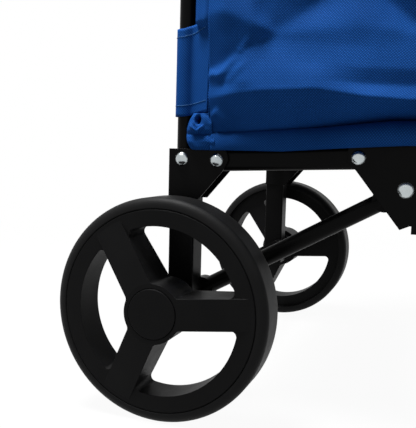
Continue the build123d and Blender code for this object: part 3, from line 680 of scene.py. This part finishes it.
def side_points(sign, from_front):
    """Grid of points of one bag side, from its folded hem down to the roll above the rails."""
    xs = np.linspace(SEAM_X, WHEELBASE - SEAM_X, SIDE_COLUMNS)
    look = WHEELBASE - xs if from_front else xs
    from_seam = np.minimum(xs - SEAM_X, WHEELBASE - SEAM_X - xs)
    crease = curve_at(look, FOLD_LINES[0], 1)
    z = BAG_TOP + (crease[None, :] - BAG_TOP) * np.linspace(0, 1, SIDE_ROWS)[:, None]
    out = folded(look, z) + gathered(look, z)
    ripples = soft_noise(out.shape, RIPPLE_SIZE, RIPPLE_SEED + from_front)
    out += RIPPLE * ramp(from_seam, SEAM_HOLD)[None, :] * ripples
    hem_z, hem_out = turned_hem(out[0])
    roll_z, roll_out = rolled_edge(look, from_seam, crease, out[-1], ROLL_SEED + from_front)
    all_z = np.concatenate([hem_z, z, roll_z])
    all_out = np.concatenate([hem_out, out, roll_out])
    narrowed = 1 - 2 * seam_drift(all_z) / SEAM_SPAN
    return grid_points(
        MID_X + (xs[None, :] - WHEELBASE / 2) * narrowed,
        sign * (SIDE_LINE + all_out),
        all_z,
    )


for name, sign, from_front in (("bag_side_r", -1, False), ("bag_side_l", 1, True)):
    points = side_points(sign, from_front)
    side = cloth_piece(f"{name}_cloth", points)
    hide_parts(name)
    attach(side, "rear_frame")
    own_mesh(side)


# Bag ends
def tab_pull(z):
    """Share by which a post tab draws the bag's corner in at a height."""
    pull = np.zeros_like(z)
    for bottom in TAB_LEVELS:
        under_top = ramp(bottom + TAB_HEIGHT + TAB_PULL_OVER - z, TAB_PULL_TOP_RAMP)
        over_foot = ramp(z - bottom, TAB_PULL_FOOT_RAMP)
        pull = np.maximum(pull, under_top * over_foot)
    return pull


def end_points(front, seed):
    """Grid of points of a bag end with its wings to the corner seams."""
    flat_reach = np.linspace(0, END_BEND_Y, END_FLAT_COLUMNS)
    bend_reach = np.linspace(END_BEND_Y, SIDE_LINE, END_BEND_COLUMNS)
    reach = np.concatenate([flat_reach, bend_reach[1:]])
    y = np.concatenate([-reach[::-1], reach[1:]])
    x = curve_at(np.abs(y), END_PLAN, 1)
    hem_z = np.linspace(BAG_TOP - HEM_DEPTH, BAG_TOP, END_HEM_ROWS)
    z = np.concatenate([hem_z, np.linspace(BAG_TOP, PANEL_FOOT, END_ROWS)[1:]])
    hem = np.zeros_like(z)
    hem[:END_HEM_ROWS] = HEM_GAP
    hem[END_HEM_ROWS - 1] = HEM_GAP / 2
    belly = np.cos(ramp(np.abs(y), PANEL_HALF_Y) * np.pi / 2)[None, :]
    sag = np.sin(np.pi * ramp(BAG_TOP - z, BAG_TOP - PANEL_FOOT))[:, None]
    ripples = soft_noise((len(z), len(y)), END_RIPPLE_SIZE, seed)
    stand = x[None, :] + hem[:, None] + belly * sag * (END_RIPPLE * ripples - END_SAG)
    near_corner = ramp(np.abs(y) - PANEL_HALF_Y, CORNER_RAMP)[None, :]
    pulled = tab_pull(z)[:, None] * near_corner
    tucked = ramp(CORNER_TUCK_Z - z, CORNER_TUCK_RAMP)[:, None] * near_corner
    room = ramp(SEAM_X - x, CORNER_ROOM)[None, :]
    seam_line = np.array([line[0] for line in FOLD_LINES], float)
    seam_out = np.interp(z, seam_line[:, 1], seam_line[:, 2])[:, None]
    out = seam_out * ramp(x - PANEL_IN, SEAM_X - PANEL_IN)[None, :]
    out = out - np.maximum(CORNER_PULL * pulled, CORNER_TUCK * tucked) * room
    return grid_points(
        along_x(stand + CORNER_PULL * pulled * room, front),
        y[None, :] + np.sign(y)[None, :] * out,
        z[:, None],
    )


for end, front, body in ENDS:
    points = end_points(front, END_SEED + front)
    panel = cloth_piece(f"bag_{end}_cloth", points)
    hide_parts(f"bag_{end}_panel")
    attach(panel, body)


# Tabs round the posts
def tab_plan():
    """Plan of a tab about the post: from the corner seam round the post and back to the seam."""
    seam = np.array((SEAM_X + POST_OUT, SIDE_LINE - LEG_Y))
    outer_end = seam + TAB_OUTER_LAP
    inner_end = seam + TAB_INNER_LAP
    leave = math.degrees(math.atan2(inner_end[1], inner_end[0]))
    leave += 360 - math.degrees(math.acos(TAB_LOOP_R / np.hypot(*inner_end)))
    turn = np.radians(np.linspace(TAB_PINCH_ANGLE, leave, TAB_LOOP_STEPS))
    loop = TAB_LOOP_R * np.stack([np.cos(turn), np.sin(turn)], axis=1)
    outer_run = np.linspace(outer_end, TAB_PINCH, TAB_OUTER_STEPS)[:-1]
    inner_run = np.linspace(loop[-1], inner_end, TAB_INNER_STEPS)[1:]
    return blur(np.concatenate([outer_run, loop, inner_run]), *TAB_PLAN_BLUR)


def tab_points(bottom, sign, front, seed):
    """Grid of points of one tab, its edges pulled up a little at the seam."""
    plan = tab_plan()
    share = np.linspace(0, 1, TAB_ROWS)[:, None]
    rise = TAB_SLANT_LOW + (TAB_SLANT_HIGH - TAB_SLANT_LOW) * share
    grown = 1 + TAB_RIPPLE * soft_noise((TAB_ROWS, len(plan)), TAB_RIPPLE_SIZE, seed)
    return grid_points(
        along_x(plan[None, :, 0] * grown - POST_OUT, front),
        sign * (LEG_Y + plan[None, :, 1] * grown),
        bottom + rise * ramp(plan[:, 0], SEAM_X) + TAB_HEIGHT * share,
    )


def stitch_row(name, line):
    """Row of sewn stitches along a line of points in millimetres."""
    steps = np.linalg.norm(np.diff(line, axis=0), axis=1)
    run = np.concatenate([[0], np.cumsum(steps)])
    curve = bpy.data.curves.new(name, "CURVE")
    curve.dimensions = "3D"
    curve.bevel_depth = STITCH_R * MM
    curve.bevel_resolution = 1
    curve.use_fill_caps = True
    for start in np.arange(STITCH_START, run[-1] - STITCH_LENGTH, STITCH_PITCH):
        spline = curve.splines.new("POLY")
        spline.points.add(2)
        for point, at in zip(spline.points, np.linspace(start, start + STITCH_LENGTH, 3)):
            place = [np.interp(at, run, line[:, axis]) * MM for axis in range(3)]
            point.co = (*place, 1)
    thread = add_object(name, curve)
    mesh = final_mesh(thread)
    bpy.data.objects.remove(thread)
    sewn = add_object(name, mesh)
    paint(sewn, blue_thread)
    return sewn


def outward(line, amount, turn):
    """A level line of tab points moved off the cloth; turn is 1 or -1 by the tab's handedness."""
    along = np.gradient(line[:, :2], axis=0)
    along /= np.linalg.norm(along, axis=1, keepdims=True)
    moved = line.copy()
    moved[:, 0] += turn * amount * along[:, 1]
    moved[:, 1] -= turn * amount * along[:, 0]
    return moved


for end, front, body in ENDS:
    for side_name, sign in SIDES:
        for level, bottom in enumerate(TAB_LEVELS):
            name = f"{end}_tab_{side_name}{level + 1}"
            points = tab_points(bottom, sign, front, TAB_SEED + level + 2 * front + (sign > 0))
            tab = cloth_piece(f"{name}_cloth", points)
            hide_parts(f"{end}_post_tabs")
            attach(tab, body)
            turn = sign * (-1 if front else 1)
            for edge, row in STITCH_ROWS:
                sewn_line = outward(points[row, STITCH_COLUMNS], CLOTH_THICK / 2 + STITCH_R / 2, turn)
                sewn = stitch_row(f"{name}_stitch_{edge}", sewn_line)
                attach(sewn, body)


# Gathered bottom corners
def pinch(x, z):
    """Relief of the pinched fold in a gathered corner: a hollow and the ridge round its foot."""
    hollow_x = (x - LOBE_HOLLOW[0]) / LOBE_HOLLOW_HALF[0]
    hollow_z = (z - LOBE_HOLLOW[1]) / LOBE_HOLLOW_HALF[1]
    hollow = LOBE_HOLLOW_DEPTH * np.exp(-0.5 * np.hypot(hollow_x, hollow_z) ** LOBE_HOLLOW_POWER)
    ridge = np.array(LOBE_RIDGE)
    crest = np.interp(x, ridge[:, 0], ridge[:, 1])
    started = ramp(x - ridge[0, 0] + LOBE_RIDGE_FADE, 2 * LOBE_RIDGE_FADE)
    not_ended = ramp(ridge[-1, 0] + LOBE_RIDGE_FADE - x, 2 * LOBE_RIDGE_FADE)
    across = np.exp(-0.5 * ((z - crest) / LOBE_RIDGE_WIDTH) ** 2)
    return LOBE_RIDGE_HEIGHT * started * not_ended * across - hollow


def lobe_points(sign, front, seed):
    """Grid of points of one gathered corner: a bulge over a rolled edge, turned in at its outer end."""
    share, profile_z, profile_out = np.array(LOBE_PROFILE).T
    down = np.linspace(0, 1, LOBE_ROWS)
    wide = np.zeros((1, LOBE_COLUMNS))
    z = np.interp(down, share, profile_z)[:, None] + wide
    out = blur(np.interp(down, share, profile_out)[:, None] + wide, *LOBE_BLUR)
    low = ramp(LOBE_JOIN_Z - z, LOBE_JOIN_RAMP)
    lapped = SEAM_X + seam_drift(z) + LOBE_LAP + LOBE_TUCK * low
    off = z - LOBE_WIDEST_Z
    tip = LOBE_TIP_X + LOBE_TIP_BACK * (off / np.where(off > 0, *LOBE_HALF)) ** 2
    run = np.linspace(0, 1, LOBE_COLUMNS)[None, :]
    x = lapped + (tip - lapped) * np.sin(run * np.pi / 2)
    out = out - LOBE_TUCK_IN * low * ramp(x - SEAM_X + LOBE_LAP, LOBE_TUCK)
    out = out + pinch(x, z) + LOBE_RIPPLE * soft_noise(out.shape, LOBE_RIPPLE_SIZE, seed)
    rounded = np.sqrt(1 - (1 - ramp(x - tip, LOBE_ROUND)) ** 2)
    out = LOBE_INSIDE + (out - LOBE_INSIDE) * rounded
    return grid_points(along_x(x, front), sign * (SIDE_LINE + out), z)


for end, front, body in ENDS:
    for side_name, sign in SIDES:
        points = lobe_points(sign, front, LOBE_SEED + 2 * front + (sign > 0))
        lobe = cloth_piece(f"{end}_corner_{side_name}_cloth", points)
        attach(lobe, body)


# Pull strap on the centre board
def strap_points():
    """Grid of points of the webbing: ends sewn down, middle raised for the fingers."""
    y = np.linspace(-STRAP_LENGTH / 2, STRAP_LENGTH / 2, STRAP_ROWS)
    x = np.linspace(-STRAP_WIDTH / 2, STRAP_WIDTH / 2, STRAP_COLUMNS)
    rise = ramp(STRAP_LENGTH / 2 - STRAP_SEWN - np.abs(y), STRAP_SEWN)
    eased = rise * rise * (3 - 2 * rise)
    z = BOARD_TOP + STRAP_THICK / 2 + STRAP_CLEAR + STRAP_RISE * eased
    return grid_points(MID_X + x[None, :], y[:, None], z[:, None])


strap_grid = strap_points()
strap_uv, strap_cut = flat_map(strap_grid)
strap = thicken(grid_object("fold_strap_webbing", strap_grid, strap_uv), STRAP_THICK)
paint(strap, webbing)
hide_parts("fold_strap")
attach(strap, "centre")


# Camera
def add_camera():
    """Camera at the photograph's place, with no shift."""
    data = bpy.data.cameras.new("camera")
    data.sensor_width = SENSOR
    data.lens = FOCAL_PX * SENSOR / max(IMAGE_WIDTH, IMAGE_HEIGHT)
    data.clip_start = CAMERA_NEAR
    data.clip_end = CAMERA_FAR
    camera = add_object("camera", data)
    sin_yaw, cos_yaw = math.sin(CAMERA_YAW), math.cos(CAMERA_YAW)
    sin_pitch, cos_pitch = math.sin(CAMERA_PITCH), math.cos(CAMERA_PITCH)
    forward = np.array((sin_yaw * cos_pitch, cos_yaw * cos_pitch, sin_pitch))
    level = np.array((cos_yaw, -sin_yaw, 0.0))
    above = np.cross(level, forward)
    right = level * math.cos(CAMERA_ROLL) + above * math.sin(CAMERA_ROLL)
    up = above * math.cos(CAMERA_ROLL) - level * math.sin(CAMERA_ROLL)
    place = Matrix.Identity(4)
    for axis, column in enumerate((right, up, -forward, np.array(CAMERA_AT) * MM)):
        for line in range(3):
            place[line][axis] = column[line]
    camera.matrix_world = place
    bpy.context.scene.camera = camera


# Light, floor and background
def add_area(name, place, target, size, power):
    """Soft square lamp that faces a target."""
    data = bpy.data.lights.new(name, "AREA")
    data.shape = "SQUARE"
    data.size = size
    data.energy = power
    lamp = add_object(name, data)
    lamp.location = place
    lamp.rotation_euler = (Vector(target) - Vector(place)).to_track_quat("-Z", "Y").to_euler()


def seen_ray(tree):
    """1 for rays from the camera, mirrors and glass, 0 for the rest."""
    path = tree.nodes.new("ShaderNodeLightPath")
    seen = path.outputs["Is Camera Ray"]
    for output in ("Is Glossy Ray", "Is Transmission Ray"):
        seen = calculate(tree, "MAXIMUM", seen, path.outputs[output])
    return seen


def add_world():
    """White for the camera and for reflections, a plain grey fill for everything else."""
    world = bpy.data.worlds.new("studio")
    world.use_nodes = True
    bpy.context.scene.world = world
    tree = world.node_tree
    background = tree.nodes["Background"]
    background.inputs["Color"].default_value = (1, 1, 1, 1)
    tree.links.new(spread(tree, seen_ray(tree), WORLD_FILL, 1.0), background.inputs["Strength"])


def floor_material():
    """Pale surface that stays white to the camera, keeps a light shadow and fades into the background."""
    material, tree, shader = new_material("pale_floor")
    shader.inputs["Roughness"].default_value = FLOOR_ROUGH
    shader.inputs["Specular IOR Level"].default_value = FLOOR_SHINE
    where = tree.nodes.new("ShaderNodeTexCoord").outputs["Object"]
    seen = seen_ray(tree)
    base = tree.nodes.new("ShaderNodeMix")
    base.data_type = "RGBA"
    base.inputs["A"].default_value = (FLOOR_BOUNCE, FLOOR_BOUNCE, FLOOR_BOUNCE, 1)
    tree.links.new(seen, base.inputs["Factor"])
    tone = between(tree, add_noise(tree, where, *FLOOR_NOISE), FLOOR_DARK, FLOOR_LIGHT)
    tree.links.new(tone, base.inputs["B"])
    tree.links.new(base.outputs["Result"], shader.inputs["Base Color"])
    away = tree.nodes.new("ShaderNodeVectorMath")
    away.operation = "LENGTH"
    tree.links.new(where, away.inputs[0])
    white = spread(tree, away.outputs["Value"], FLOOR_WHITE, 1.0, *FLOOR_FADE)
    glow = tree.nodes.new("ShaderNodeEmission")
    mix = tree.nodes.new("ShaderNodeMixShader")
    tree.links.new(calculate(tree, "MULTIPLY", seen, white), mix.inputs["Fac"])
    tree.links.new(shader.outputs["BSDF"], mix.inputs[1])
    tree.links.new(glow.outputs["Emission"], mix.inputs[2])
    tree.links.new(mix.outputs["Shader"], tree.nodes["Material Output"].inputs["Surface"])
    return material


def add_floor():
    """Square floor under the wheels."""
    mesh = bpy.data.meshes.new("floor")
    signs = ((-1, -1), (1, -1), (1, 1), (-1, 1))
    corners = [(FLOOR_HALF * along, FLOOR_HALF * across, 0) for along, across in signs]
    mesh.from_pydata(corners, [], [(0, 1, 2, 3)])
    floor = add_object("floor", mesh)
    floor.data.materials.append(floor_material())


add_camera()
add_area("key", **KEY_LAMP)
add_area("rim", **RIM_LAMP)
add_world()
add_floor()
bpy.context.scene.view_settings.view_transform = "Standard"
